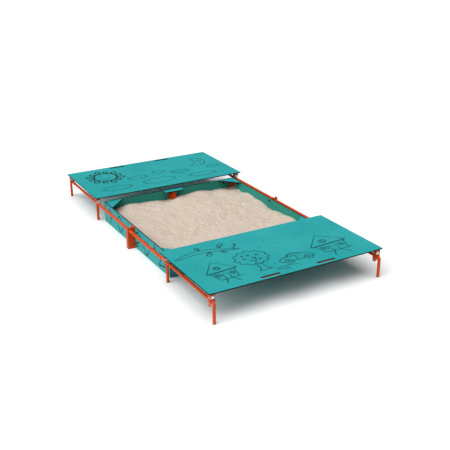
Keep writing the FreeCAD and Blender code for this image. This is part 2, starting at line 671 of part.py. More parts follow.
def make_cover(end, turn):
    """One half of the cover with everything that slides with it."""
    make_panel(end, turn)
    make_beams(end, turn)
    sign = 1 if turn == 0 else -1
    hook = (HOOK_BOTTOM, "hook_round", True)
    short = (f"{AXLE_Z} - short_drop", "short_round", False)
    axles = []
    hook_bolts = []
    grip = size(f"2 * {CARRIAGE_HALF}")
    cap = (size("axle * 1.8"), size("axle * 0.8"))
    for position, axle_x, towards_beam, style in (("outer", OUTER_AXLE_X, -1, hook),
                                                  ("inner", INNER_AXLE_X, 1, short)):
        for name, side in SIDES:
            x = f"{sign} * {axle_x}"
            y = f"{side} * {RAIL_Y}"
            make_carriage(f"{end}_{name}_{position}_carriage", x, y, turn, towards_beam, *style)
            make_roller(f"{end}_{name}_{position}_roller", x, y)
            start = Vector(size(x), size(f"{side} * ({RAIL_Y} + {CARRIAGE_HALF})"), size(AXLE_Z))
            inward = Vector(0, -side, 0)
            axles.append(bolt_solid(start, inward, grip, size("axle"), *cap))
            if style is hook:
                start = Vector(start.x, start.y, size(HOOK_BOLT_Z))
                hook_bolts.append(bolt_solid(start, inward, grip, size("axle"), *cap))
    group(f"{end}_axle_bolts", axles)
    group(f"{end}_hook_bolts", hook_bolts)
    screws = []
    for x, y, grip_size in cover_screw_places():
        point = Vector(size(x), size(y), size(f"{UNDERSIDE} - {grip_size}"))
        screws.append(screw_solid(point, size(f"{grip_size} + screw_grip")))
    group(f"{end}_cover_screws", screws, turn)


def check_and_export():
    """Stops on any failed object or bad shape, then writes one file for each piece."""
    document.recompute()
    for item in document.Objects:
        if "Invalid" in item.State or "Error" in item.State:
            raise RuntimeError(f"{item.Label} failed: {item.State}")
    for item in parts:
        if item.Shape.isNull() or not item.Shape.isValid() or not item.Shape.Solids:
            raise RuntimeError(f"{item.Label} has no valid shape")
    os.makedirs("parts", exist_ok=True)
    for item in parts:
        item.Shape.exportStep(f"parts/{item.Label}.step")
    print(f"{len(parts)} pieces written")


fill_sheet()
make_walls()
make_corner_brackets()
make_corner_seats()
make_middle_seats()
make_box_fasteners()
make_rails()
make_inner_legs()
make_foot_caps()
make_side_brackets()
make_sand()
for end_name, end_turn in ENDS:
    make_cover(end_name, end_turn)
check_and_export()
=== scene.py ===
"""The looks of a sandbox with two sliding covers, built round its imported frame.

Boards are compact laminate with grooved drawings, the steel is powder coated, the rollers are
turned nylon and the pit holds dry sand. Sizes are in metres unless a name says otherwise.
"""

import json
import logging
import math
import random
from dataclasses import dataclass, field, replace
from enum import Enum

import bmesh
import bpy
from mathutils import Matrix, Vector, noise


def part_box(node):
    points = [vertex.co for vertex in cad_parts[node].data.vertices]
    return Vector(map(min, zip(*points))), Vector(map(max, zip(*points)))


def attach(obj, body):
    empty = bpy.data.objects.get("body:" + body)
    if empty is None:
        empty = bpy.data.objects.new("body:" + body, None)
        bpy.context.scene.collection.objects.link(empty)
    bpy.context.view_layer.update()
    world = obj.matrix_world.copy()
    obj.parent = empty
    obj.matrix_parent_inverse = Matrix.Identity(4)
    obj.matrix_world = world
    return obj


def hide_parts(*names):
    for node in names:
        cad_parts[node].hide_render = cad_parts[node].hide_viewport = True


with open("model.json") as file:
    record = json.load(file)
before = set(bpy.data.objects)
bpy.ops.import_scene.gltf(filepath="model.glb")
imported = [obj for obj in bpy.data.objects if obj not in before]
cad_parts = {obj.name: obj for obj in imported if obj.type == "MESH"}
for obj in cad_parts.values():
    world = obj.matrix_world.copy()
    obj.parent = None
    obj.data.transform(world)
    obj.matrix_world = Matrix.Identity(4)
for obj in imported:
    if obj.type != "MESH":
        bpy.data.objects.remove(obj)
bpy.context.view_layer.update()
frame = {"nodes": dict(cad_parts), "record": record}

log = logging.getLogger("sandbox")

MM = 0.001
SEED = 20
ALIGNED = 0.99          # cosine from which a direction counts as lying along an axis

Point = tuple[float, float]
Socket = bpy.types.NodeSocket
Shape = bmesh.types.BMesh
Piece = bpy.types.Object
Material = bpy.types.Material


class Slot(Enum):
    """The record's material slots."""

    LAMINATE = "laminate"
    STEEL = "orange_steel"
    NYLON = "white_nylon"
    DARK_PLASTIC = "dark_plastic"
    CAPS = "bolt_caps"
    ZINC = "zinc_steel"
    SAND = "sand"


class Axis(Enum):
    """The direction of a board's thickness, as an index into a vector."""

    X = 0
    Y = 1
    Z = 2


# --- finishes ---


def linear(code: str) -> tuple[float, float, float, float]:
    """Turns an sRGB hex colour into linear light.

    Args:
        code: Six hex digits after a hash sign.

    Returns:
        Red, green, blue and an alpha of 1.
    """
    parts = [int(code[i:i + 2], 16) / 255 for i in (1, 3, 5)]
    light = [c / 12.92 if c <= 0.04045 else ((c + 0.055) / 1.055) ** 2.4 for c in parts]
    return light[0], light[1], light[2], 1.0


def add_node(tree: bpy.types.NodeTree, kind: str, inputs: dict | None = None, **settings) -> bpy.types.Node:
    """Adds a node with its settings, and sets or links its inputs.

    Args:
        tree: The node tree to add to.
        kind: The node's type name after "ShaderNode".
        inputs: Socket name or number to a value, or to the socket that feeds it.
        **settings: Properties of the node.

    Returns:
        The new node.
    """
    made = tree.nodes.new("ShaderNode" + kind)
    for name, value in settings.items():
        setattr(made, name, value)
    for key, value in (inputs or {}).items():
        if isinstance(value, Socket):
            tree.links.new(value, made.inputs[key])
        else:
            made.inputs[key].default_value = value
    return made


@dataclass
class Coat:
    """A material being made: its tree, its shader and the piece's own coordinates."""

    name: str
    roughness: float
    metallic: float = 0.0
    ior: float = 1.5
    specular: float = 0.5

    def __post_init__(self) -> None:
        """Makes the material with a Principled shader and an output."""
        self.material = bpy.data.materials.new(self.name)
        self.material.use_nodes = True
        self.tree = self.material.node_tree
        self.tree.nodes.clear()
        self.shader = add_node(self.tree, "BsdfPrincipled", {
            "Roughness": self.roughness, "Metallic": self.metallic, "IOR": self.ior,
            "Specular IOR Level": self.specular})
        add_node(self.tree, "OutputMaterial", {"Surface": self.shader.outputs[0]})
        self.place = add_node(self.tree, "TexCoord").outputs["Object"]

    def noise(self, grain: float, detail: float = 3.0, rough: float = 0.5, stretch: Point | None = None,
              axis: Axis = Axis.Z) -> Socket:
        """Fractal noise whose lumps are about one grain across.

        Args:
            grain: Size of a lump in metres.
            detail: Octaves of finer noise.
            rough: Share of the finer octaves.
            stretch: How much the pattern is drawn out across and along the axis.
            axis: The axis that the stretch is about.

        Returns:
            The noise, from 0 to 1.
        """
        place = self.place
        if stretch:
            scale = [1 / stretch[0]] * 3
            scale[axis.value] = 1 / stretch[1]
            place = add_node(self.tree, "Mapping", {"Vector": place, "Scale": scale}).outputs[0]
        sockets = {"Vector": place, "Scale": 1 / grain, "Detail": detail, "Roughness": rough}
        return add_node(self.tree, "TexNoise", sockets).outputs[0]

    def blend(self, amount: Socket, first: Socket | str, second: Socket | str) -> Socket:
        """Mixes two colours, each a hex code or a socket."""
        mix = add_node(self.tree, "Mix", {0: amount}, data_type="RGBA")
        for slot, value in ((6, first), (7, second)):
            if isinstance(value, Socket):
                self.tree.links.new(value, mix.inputs[slot])
            else:
                mix.inputs[slot].default_value = linear(value)
        return mix.outputs[2]

    def between(self, value: Socket, low: float, high: float, out_low: float, out_high: float) -> Socket:
        """Maps a range of values onto another, clamped."""
        limits = {"From Min": low, "From Max": high, "To Min": out_low, "To Max": out_high}
        return add_node(self.tree, "MapRange", {"Value": value, **limits}).outputs[0]

    def fade(self, pattern: Socket, low: float, high: float, share: float, under: Socket | str,
             over: str) -> Socket:
        """Lays a colour over another, up to a share of it, as a pattern goes from low to high."""
        return self.blend(self.between(pattern, low, high, 0.0, share), under, over)

    def height(self, axis: Axis) -> Socket:
        """The piece's own coordinate along an axis."""
        return add_node(self.tree, "SeparateXYZ", {0: self.place}).outputs[axis.value]

    def bump(self, relief: Socket, depth: float, strength: float, under: Socket | None = None) -> Socket:
        """Bump from a relief of the given depth in metres, over an earlier one if there is one."""
        inputs: dict = {"Height": relief, "Distance": depth, "Strength": strength}
        if under is not None:
            inputs["Normal"] = under
        return add_node(self.tree, "Bump", inputs).outputs[0]

    def finish(self, colour: Socket, normal: Socket | None = None,
               roughness: Socket | None = None) -> Material:
        """Links the colour, bump and roughness to the shader and returns the material."""
        for socket, name in ((colour, "Base Color"), (normal, "Normal"), (roughness, "Roughness")):
            if socket is not None:
                self.tree.links.new(socket, self.shader.inputs[name])
        return self.material


@dataclass(frozen=True)
class PressedLaminate:
    """High-pressure compact laminate, pressed between satin steel plates.

    The decor paper gives an even teal; the plates leave a fine pearl grain that breaks up the
    gloss, and handling leaves faint dust and worn patches.
    """

    name: str = "pressed_teal_laminate"
    decor: str = "#1B8C8E"
    faded: str = "#259294"
    dust: str = "#66A7A2"
    pearl: float = 7 * MM       # really about 1.5 mm, drawn coarser so that it shows
    patch: float = 0.45

    def make(self) -> Material:
        """Builds the laminate's face."""
        coat = Coat(self.name, 0.5, specular=0.22)
        patches = coat.noise(self.patch, 2.0)
        colour = coat.fade(patches, 0.35, 0.7, 1.0, self.decor, self.faded)
        streaks = coat.noise(0.06, 4.0, 0.6, (1.0, 4.0), Axis.Y)
        colour = coat.fade(streaks, 0.55, 0.8, 0.07, colour, self.dust)
        grain = coat.noise(self.pearl, 2.0)
        rough = coat.between(patches, 0.3, 0.75, 0.48, 0.58)
        return coat.finish(colour, coat.bump(grain, 0.25 * MM, 0.35), rough)


@dataclass(frozen=True)
class SawnCore:
    """The laminate's core of kraft paper in phenolic resin, sawn and grooved.

    Cutting lays bare the black-brown core, dull and slightly scored by the blade.
    """

    resin: str = "#090807"
    paper: str = "#17120F"
    score: float = 4 * MM

    def make(self) -> Material:
        """Builds the cut core."""
        coat = Coat("sawn_black_core", 0.7, specular=0.15)
        lines = coat.noise(self.score, 3.0, 0.6)
        colour = coat.fade(lines, 0.45, 0.75, 0.7, self.resin, self.paper)
        return coat.finish(colour, coat.bump(lines, 0.3 * MM, 0.4))


@dataclass(frozen=True)
class PowderCoat:
    """Steel with a baked polyester powder coat.

    The powder melts into a satin orange film with a fine orange-peel ripple, a little darker
    where it is thin, and dusty with sand near the ground.
    """

    film: str = "#BC3F05"
    thin: str = "#A83303"
    dust: str = "#AA7654"
    peel: float = 5 * MM        # really 2 to 3 mm, drawn coarser so that it shows
    splash: float = 0.05        # height up to which sand dust clings

    def make(self) -> Material:
        """Builds the orange coat."""
        coat = Coat("orange_powder_coat", 0.5, specular=0.2)
        patches = coat.noise(0.05, 4.0, 0.6)
        colour = coat.fade(patches, 0.4, 0.75, 0.55, self.film, self.thin)
        specks = coat.noise(0.012, 4.0, 0.7)
        low = coat.between(coat.height(Axis.Z), 0.0, self.splash, 0.5, 0.0)
        dusty = add_node(coat.tree, "Math", {0: low, 1: specks}, operation="MULTIPLY").outputs[0]
        colour = coat.blend(dusty, colour, self.dust)
        ripple = coat.noise(self.peel, 1.0)
        rough = coat.between(patches, 0.3, 0.8, 0.44, 0.58)
        return coat.finish(colour, coat.bump(ripple, 0.2 * MM, 0.4), rough)


@dataclass(frozen=True)
class TurnedNylon:
    """Cast nylon, turned on a lathe.

    Off-white and slightly waxy, with fine rings from the tool and a grey band where it rolls.
    """

    clean: str = "#F4F3EC"
    rolled: str = "#D4D2C8"
    ring: float = 3 * MM        # really 0.3 mm, drawn coarser so that it shows

    def make(self) -> Material:
        """Builds the rollers' nylon."""
        coat = Coat("turned_white_nylon", 0.38, ior=1.53)
        rings = add_node(coat.tree, "TexWave", {
            "Vector": coat.place, "Scale": 0.314 / self.ring, "Distortion": 0.4, "Detail": 1.0},
            wave_type="BANDS", bands_direction="Y").outputs[1]
        wear = coat.noise(0.02, 3.0)
        colour = coat.fade(wear, 0.45, 0.75, 0.6, self.clean, self.rolled)
        return coat.finish(colour, coat.bump(rings, 0.1 * MM, 0.3))


@dataclass(frozen=True)
class MouldedPlastic:
    """Injection-moulded polypropylene: even colour, satin, with a fine spark-eroded grain."""

    name: str
    body: str
    scuff: str
    roughness: float = 0.42
    specular: float = 0.45

    def make(self) -> Material:
        """Builds a moulded plastic in this colour."""
        coat = Coat(self.name, self.roughness, specular=self.specular)
        scuffs = coat.noise(0.009, 4.0, 0.65)
        colour = coat.fade(scuffs, 0.5, 0.8, 0.6, self.body, self.scuff)
        return coat.finish(colour, coat.bump(coat.noise(2 * MM, 1.0), 0.1 * MM, 0.4))


@dataclass(frozen=True)
class ZincPlate:
    """Steel fasteners, zinc plated and passivated: bluish bright metal with cloudy patches."""

    bright: str = "#C9CDD0"
    cloudy: str = "#A3A6A1"

    def make(self) -> Material:
        """Builds the zinc plating."""
        coat = Coat("zinc_plated_steel", 0.36, metallic=1.0)
        clouds = coat.noise(0.006, 4.0, 0.6)
        colour = coat.fade(clouds, 0.4, 0.7, 1.0, self.bright, self.cloudy)
        rough = coat.between(clouds, 0.3, 0.8, 0.28, 0.5)
        return coat.finish(colour, None, rough)


@dataclass(frozen=True)
class DrySand:
    """Washed quartz play sand, dry and loose.

    Pale warm grains with darker and lighter ones among them, and no gloss.
    """

    pale: str = "#BBADA0"
    warm: str = "#B5A595"
    dark: str = "#89796A"
    light: str = "#CDC2B7"
    grain: float = 7 * MM       # really 0.5 mm, drawn coarser so that it shows

    def make(self) -> Material:
        """Builds the sand."""
        coat = Coat("dry_quartz_sand", 0.95, specular=0.15)
        drifts = coat.noise(0.22, 4.0, 0.6)
        grains = coat.noise(self.grain, 3.0, 0.75)
        clumps = coat.noise(0.03, 4.0, 0.65)
        colour = coat.fade(drifts, 0.35, 0.7, 0.8, self.pale, self.warm)
        colour = coat.fade(grains, 0.54, 0.72, 0.85, colour, self.dark)
        colour = coat.fade(grains, 0.46, 0.3, 0.9, colour, self.light)
        colour = coat.fade(clumps, 0.55, 0.8, 0.35, colour, self.dark)
        relief = coat.bump(grains, 5 * MM, 0.7, coat.bump(clumps, 10 * MM, 0.5))
        return coat.finish(colour, relief)


@dataclass(frozen=True)
class StudioPaper:
    """Seamless white background paper: matt, with no pattern that would show."""

    white: str = "#EAEAEA"
    shade: str = "#E6E6E6"

    def make(self) -> Material:
        """Builds the floor's paper."""
        coat = Coat("white_background_paper", 0.9, specular=0.1)
        fibres = coat.noise(1.2, 2.0)
        return coat.finish(coat.blend(fibres, self.white, self.shade))


class Finishes:
    """Every finish, made once."""

    def __init__(self) -> None:
        """Builds all the materials."""
        self.laminate = PressedLaminate().make()
        # Painted shade: the pit's inner faces take a darker and greener copy of the laminate, with greyer
        # dust streaks.
        self.painted_shade_laminate = PressedLaminate("painted_shade_teal_laminate", "#1C7E71", "#258476", "#7C8F7A").make()
        self.core = SawnCore().make()
        self.steel = PowderCoat().make()
        self.nylon = TurnedNylon().make()
        # The feet's dark maroon is painted shade: it stands in for the contact shadow at the foot of each
        # leg.
        self.feet = MouldedPlastic("dark_feet_painted_shade", "#4A1E16", "#6B3A2C").make()
        self.caps = MouldedPlastic("moulded_red_caps", "#8C1D0A", "#A23A20").make()
        self.black_caps = MouldedPlastic("moulded_black_caps", "#060607", "#141517", 0.6, 0.15).make()
        self.zinc = ZincPlate().make()
        self.sand = DrySand().make()
        self.paper = StudioPaper().make()


# --- shared making ---


BODY_OF_NODE: dict[str, str] = {
    node: body for body, nodes in frame["record"]["behaviour"]["bodies"].items() for node in nodes}


def add_object(name: str, data: bpy.types.ID) -> Piece:
    """Puts a new object with this data into the scene."""
    made = bpy.data.objects.new(name, data)
    bpy.context.scene.collection.objects.link(made)
    return made


def to_mesh(name: str, shape: Shape) -> bpy.types.Mesh:
    """Turns a bmesh into a mesh, and frees it."""
    mesh = bpy.data.meshes.new(name)
    shape.to_mesh(mesh)
    shape.free()
    return mesh


def evaluated(thing: Piece) -> bpy.types.Mesh:
    """The mesh of an object as its curve or its modifiers leave it."""
    return bpy.data.meshes.new_from_object(thing.evaluated_get(bpy.context.evaluated_depsgraph_get()))


def block(centre: Vector, size: Vector) -> Shape:
    """A rectangular solid."""
    shape = bmesh.new()
    bmesh.ops.create_cube(shape, size=1.0)
    bmesh.ops.scale(shape, vec=size, verts=shape.verts)
    bmesh.ops.translate(shape, vec=centre, verts=shape.verts)
    return shape


def ease(shape: Shape, edges: list[bmesh.types.BMEdge], offset: float, segments: int = 2) -> None:
    """Rounds edges, or chamfers them with one segment."""
    bmesh.ops.bevel(shape, geom=edges, offset=offset, affect="EDGES", segments=segments, profile=0.5,
                    material=-1)


def column(radius: float, low: float, high: float, segments: int) -> Shape:
    """An upright prism about Z, from one height to another."""
    shape = bmesh.new()
    bmesh.ops.create_cone(shape, cap_ends=True, segments=segments, radius1=radius, radius2=radius,
                          depth=high - low, matrix=Matrix.Translation((0, 0, (high + low) / 2)))
    return shape


def make_piece(name: str, shape: Shape, finishes: list[Material], body: str,
               replaces: tuple[str, ...] = (), smooth: float | None = None) -> Piece:
    """Turns a bmesh into a piece that rides on a body.

    Args:
        name: The piece's name.
        shape: The finished shape, in the frame's coordinates. It is freed.
        finishes: Materials in the order of the faces' material numbers.
        body: The body it rides on.
        replaces: CAD nodes that it stands for.
        smooth: Edges flatter than this many degrees are shaded smooth; None shades all flat.

    Returns:
        The new object.
    """
    mesh = to_mesh(name, shape)
    for finish in finishes:
        mesh.materials.append(finish)
    if smooth is not None:
        mesh.shade_smooth()
        mesh.set_sharp_from_angle(angle=math.radians(smooth))
    piece = add_object(name, mesh)
    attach(piece, body)
    if replaces:
        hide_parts(*replaces)
    log.info("%s: %d faces, on %s", name, len(mesh.polygons), body)
    return piece


def solid_boxes(node: str) -> list[tuple[Vector, Vector]]:
    """The box of each separate solid of a CAD node, in a fixed order.

    Args:
        node: The CAD node's name.

    Returns:
        The lowest and highest corner of each solid.
    """
    shape = bmesh.new()
    shape.from_mesh(frame["nodes"][node].data)
    bmesh.ops.remove_doubles(shape, verts=shape.verts, dist=0.01 * MM)
    seen: set[int] = set()
    boxes = []
    shape.verts.index_update()
    for start in shape.verts:
        if start.index in seen:
            continue
        seen.add(start.index)
        waiting, low, high = [start], start.co.copy(), start.co.copy()
        while waiting:
            vertex = waiting.pop()
            low = Vector(map(min, low, vertex.co))
            high = Vector(map(max, high, vertex.co))
            for edge in vertex.link_edges:
                other = edge.other_vert(vertex)
                if other.index not in seen:
                    seen.add(other.index)
                    waiting.append(other)
        boxes.append((low, high))
    shape.free()
    return sorted(boxes, key=lambda box: [round(c, 4) for c in box[0]])


def turned_profile(shape: Shape, profile: list[Point], steps: int, closed: bool = False) -> None:
    """Adds a solid of revolution about Z to a bmesh.

    Args:
        shape: The bmesh to add to; only the new solid is turned and merged.
        profile: Radius and height of each point, from the axis round to the axis, or a ring.
        steps: Number of steps round.
        closed: True where the profile is a ring clear of the axis.
    """
    points = [shape.verts.new((radius, 0.0, height)) for radius, height in profile]
    pairs = list(zip(points, points[1:])) + ([(points[-1], points[0])] if closed else [])
    edges = [shape.edges.new(pair) for pair in pairs]
    before = set(shape.verts) - set(points)
    bmesh.ops.spin(shape, geom=points + edges, cent=(0, 0, 0), axis=(0, 0, 1), angle=math.tau,
                   steps=steps, use_merge=True)
    new = [vertex for vertex in shape.verts if vertex not in before]
    bmesh.ops.remove_doubles(shape, verts=new, dist=0.001 * MM)
    new = [vertex for vertex in shape.verts if vertex not in before]
    faces = list({face for vertex in new for face in vertex.link_faces})
    bmesh.ops.recalc_face_normals(shape, faces=faces)


def add_part(target: Shape, part: Shape, matrix: Matrix) -> None:
    """Moves a part, adds it to a bmesh and frees it."""
    mesh = to_mesh("part", part)
    mesh.transform(matrix)
    target.from_mesh(mesh)
    bpy.data.meshes.remove(mesh)


def facing(direction: Vector, at: Vector) -> Matrix:
    """A matrix that turns +Z to a direction and moves the origin to a point."""
    return Matrix.Translation(at) @ direction.to_track_quat("Z", "Y").to_matrix().to_4x4()


# --- drawings ---


@dataclass
class Groove:
    """One routed line of a drawing, in millimetres across and up its board."""

    points: list[Point]
    closed: bool = False
    smooth: bool = True
    heavy: float = 1.0          # the line's width, in widths of the cutter


def about(centre: Point, radius: float, turns: list[float], squash: float = 1.0) -> list[Point]:
    """Points round a centre, at angles in radians."""
    u, v = centre
    return [(u + radius * math.cos(turn), v + radius * squash * math.sin(turn)) for turn in turns]


def ring(centre: Point, radius: float, squash: float = 1.0, count: int = 14) -> Groove:
    """A closed round line."""
    return Groove(about(centre, radius, [math.tau * i / count for i in range(count)], squash), closed=True)


def arc(centre: Point, radius: float, start: float, end: float, count: int = 9) -> Groove:
    """An open round line between two angles in degrees."""
    turns = [math.radians(start + (end - start) * i / (count - 1)) for i in range(count)]
    return Groove(about(centre, radius, turns))


def line(*points: Point) -> Groove:
    """A line with straight runs."""
    return Groove(list(points), smooth=False)


def curves(*runs: list[Point]) -> list[Groove]:
    """Smooth open lines."""
    return [Groove(run) for run in runs]


def scalloped(centre: Point, width: float, height: float, bumps: int, puff: float = 0.5) -> Groove:
    """A closed outline of round bumps about an oval, as children draw clouds and tree crowns."""
    points = []
    per_bump = 6
    for bump in range(bumps):
        for step in range(per_bump):
            share = step / per_bump
            turn = math.tau * (bump + share) / bumps
            out = 1 + puff * math.sin(math.pi * share) * math.pi / bumps
            points.append((centre[0] + width / 2 * out * math.cos(turn),
                           centre[1] + height / 2 * out * math.sin(turn)))
    return Groove(points, closed=True, smooth=False)


def moved(grooves: list[Groove], across: float, up: float, scale: float = 1.0, lean: float = 0.0,
          widen: float = 1.0) -> list[Groove]:
    """The same grooves scaled, widened, leant over and moved."""
    return [replace(groove, points=[(across + scale * (widen * u + lean * v), up + scale * v)
                                    for u, v in groove.points]) for groove in grooves]


@dataclass(frozen=True)
class SkyDrawing:
    """A sun, a crescent moon and drifting clouds, for the rear cover."""

    sun: Point = (-688, 178)
    sun_radius: float = 165
    rays: int = 12
    moon: Point = (742, 190)
    moon_radius: float = 178
    bold: float = 2.0           # width of the sun's lines, in widths of the cutter
    # Middle across and up, width, height and number of bumps of each cloud.
    clouds: tuple[tuple[float, float, float, float, int], ...] = (
        (-705, -335, 400, 165, 7), (-62, -318, 470, 215, 8), (608, -362, 400, 150, 7),
        (-292, -62, 265, 120, 6), (78, 30, 165, 88, 5), (368, -95, 245, 110, 6), (912, -100, 175, 92, 5))

    def grooves(self) -> list[Groove]:
        """All the lines of the sky."""
        made = [replace(ring(self.sun, self.sun_radius, 1.0, 20), heavy=self.bold)]
        for i in range(self.rays):
            turn = math.tau * (i + 0.3) / self.rays
            reach = 276 if i % 2 else 258
            side = [(182, 0.09), (214, 0.155), (reach - 14, 0.12)]
            flame = [(r, -t) for r, t in side] + [(reach, 0.0)] + side[::-1]
            loop = [about(self.sun, r, [turn + t])[0] for r, t in flame]
            made.append(Groove(loop, closed=True, heavy=self.bold))
        u, v = self.sun
        made += [arc((u, v + 10), 78, 205, 335), arc((u - 52, v + 42), 20, 20, 160, 5),
                 arc((u + 52, v + 42), 20, 20, 160, 5)]
        made.append(arc(self.moon, self.moon_radius, -132, 86, 15))
        u, v = self.moon
        made += moved(curves([(12, 178), (26, 110), (20, 30), (-8, -50), (-60, -105), (-119, -132)]), u, v)
        made += [ring((u + 95, v + 20), 34, 0.8, 8), arc((u + 100, v - 78), 30, 150, 300, 5)]
        for u, v, width, height, bumps in self.clouds:
            made.append(scalloped((u, v), width * 0.86, height * 0.82, bumps, 0.75))
        return made


@dataclass(frozen=True)
class TownDrawing:
    """Two cottages, a tree, a car and a leafy bough among falling petals, for the front cover."""

    petal_reach: float = 7
    petals: tuple[Point, ...] = (
        (262, 455), (505, 452), (752, 452), (1010, 440), (-92, 368), (150, 352), (655, 345), (38, 250),
        (282, 236), (545, 262), (-70, 148), (176, 136), (950, 150), (682, 150), (72, 34), (338, 38),
        (822, 40), (-680, 46), (-928, 44), (-532, -70), (140, -158), (-164, -312), (-238, -330),
        (-216, -248), (66, -478), (1042, 262), (-250, 440), (410, 140))

    def cottage(self) -> list[Groove]:
        """A cottage about 340 wide and 430 high, its ground line at zero."""
        return [line((-175, 175), (0, 430), (205, 205)), line((-175, 175), (205, 205)),
                line((-162, 160), (192, 188)), line((-130, 162), (-96, 0)), line((165, 186), (128, 6)),
                line((-96, 0), (128, 6)), line((-20, 4), (-24, 120), (48, 124), (44, 6)),
                ring((-6, 268), 38, 1.0, 10), ring((-6, 268), 20, 1.0, 8),
                line((-104, 132), (-42, 136), (-40, 72), (-92, 70), (-104, 132)),
                line((-74, 134), (-68, 71)), line((-98, 102), (-41, 104)),
                line((76, 138), (134, 142), (122, 76), (74, 74), (76, 138)),
                line((104, 140), (98, 75)), line((75, 106), (128, 109)),
                *curves([(-22, -4), (-52, -60), (-60, -98)], [(46, -2), (84, -48), (100, -96)]),
                line((128, 6), (178, 2))]

    def tree(self) -> list[Groove]:
        """A round tree about 400 wide with fruit in its crown."""
        made = [scalloped((0, 330), 352, 300, 11, 0.7)]
        made += curves([(-42, 186), (-34, 110), (-62, 12), (-92, 4)],
                       [(26, 184), (24, 90), (32, 14), (70, 2)],
                       [(-92, 4), (-20, -6), (70, 2)], [(-8, 186), (-4, 244), (-52, 292)],
                       [(-2, 232), (38, 276), (44, 322)])
        fruit = ((-88, 330), (-10, 396), (92, 372), (72, 262), (-76, 408), (20, 318))
        return made + [ring(spot, 15, 1.0, 6) for spot in fruit]

    def car(self) -> list[Groove]:
        """A small round-roofed car about 430 long."""
        body = Groove([(-215, 30), (-226, 80), (-190, 112), (-120, 128), (-76, 172), (-10, 196), (76, 186),
                       (128, 134), (196, 122), (222, 88), (216, 34)])
        made = [body, line((-215, 30), (-176, 28)), line((-66, 26), (78, 26)), line((188, 28), (216, 34))]
        for wheel in (-121, 133):
            made += [ring((wheel, 30), 52, 1.0, 12), ring((wheel, 30), 22, 1.0, 8)]
        made += [line((-96, 122), (-62, 160), (-12, 174), (-10, 124), (-96, 122)),
                 line((12, 124), (12, 174), (66, 166), (100, 124), (12, 124)), line((2, 116), (4, 46))]
        return made

    def branch(self) -> list[Groove]:
        """A long bough that tapers to the right, with leaves on both sides of it."""
        mirror = 296            # height about which the lower leaves are turned over
        made = curves([(-1072, 280), (-1000, 322), (-900, 360), (-770, 382), (-640, 368), (-500, 322),
                       (-390, 262), (-290, 214)],
                      [(-1060, 258), (-980, 284), (-880, 302), (-760, 310), (-640, 300), (-520, 272),
                       (-400, 232), (-290, 214)])
        leaf = curves([(0, 0), (-28, 30), (-24, 74), (8, 92), (34, 70), (30, 28), (0, 0)])
        leaf += [line((0, 0), (4, 56))]
        made += moved(leaf, -722, 392, 0.85, -0.1) + moved(leaf, -494, 336, 1.25, 0.7)
        made += [replace(groove, points=[(u, 2 * mirror - v) for u, v in groove.points])
                 for groove in moved(leaf, -640, mirror, 1.15, -0.5) + moved(leaf, -500, 330, 0.8, 0.3)]
        made += curves([(-352, 246), (-322, 284), (-292, 330)], [(-330, 272), (-358, 306)],
                       [(-312, 298), (-278, 308)])
        return made + [ring((-286, 346), 18, 1.0, 6)]

    def grooves(self) -> list[Groove]:
        """All the lines of the town."""
        made = self.branch()
        made += moved(self.cottage(), -768, -374, 1.0, 0.02)
        made += moved(self.tree(), -305, -388)
        made += moved(self.car(), 132, -372)
        made += moved(self.cottage(), 640, -362, 1.05, 0.03, 1.28)
        made += curves([(-214, -402), (-196, -448), (-120, -486), (-60, -470)],
                       [(-170, -412), (-120, -440), (-58, -430)], [(-60, -398), (0, -432), (62, -440)])
        for i, petal in enumerate(self.petals):
            turn = 1.1 + 0.9 * (i % 4)
            made.append(line(*about(petal, self.petal_reach, [turn + math.pi, turn])))
        return made


@dataclass(frozen=True)
class MeadowDrawing:
    """A leaf, a flag, loops and twigs in a row along a side wall, up from its foot."""

    def grooves(self) -> list[Groove]:
        """All the lines along the wall."""
        leaf = curves([(0, 0), (-62, 52), (-88, 122), (-40, 176), (6, 146), (52, 182), (96, 126), (66, 50),
                       (0, 0)])
        flag = [line((-60, 0), (-74, 20), (-34, 120)), line((-74, 20), (88, 46)), line((88, 46), (70, 116)),
                *curves([(-34, 120), (20, 138), (70, 116)])]
        loop = [*curves([(-92, 92), (-30, 30), (8, 4), (46, 22), (92, 96)]), line((-8, 8), (-30, 58)),
                *curves([(-70, 166), (-40, 214), (10, 218), (52, 168)])]
        swirl = [*curves([(-66, 62), (10, 74), (64, 132)], [(-58, 182), (-20, 222), (54, 232), (82, 176)]),
                 line((-66, 62), (-40, 30), (24, 44))]
        fork = [line((-44, 0), (8, 46), (52, 6)), line((8, 46), (4, 88))]
        twig = curves([(-8, 0), (22, 70), (30, 140), (18, 190)], [(-60, 92), (-48, 150), (-36, 186)],
                      [(22, 70), (66, 104), (74, 150)])
        return (moved(leaf, 352, 24) + moved(flag, 790, 34) + moved(loop, -458, 26) + moved(swirl, 92, 4)
                + moved(fork, 590, 176) + moved(twig, -800, 34))


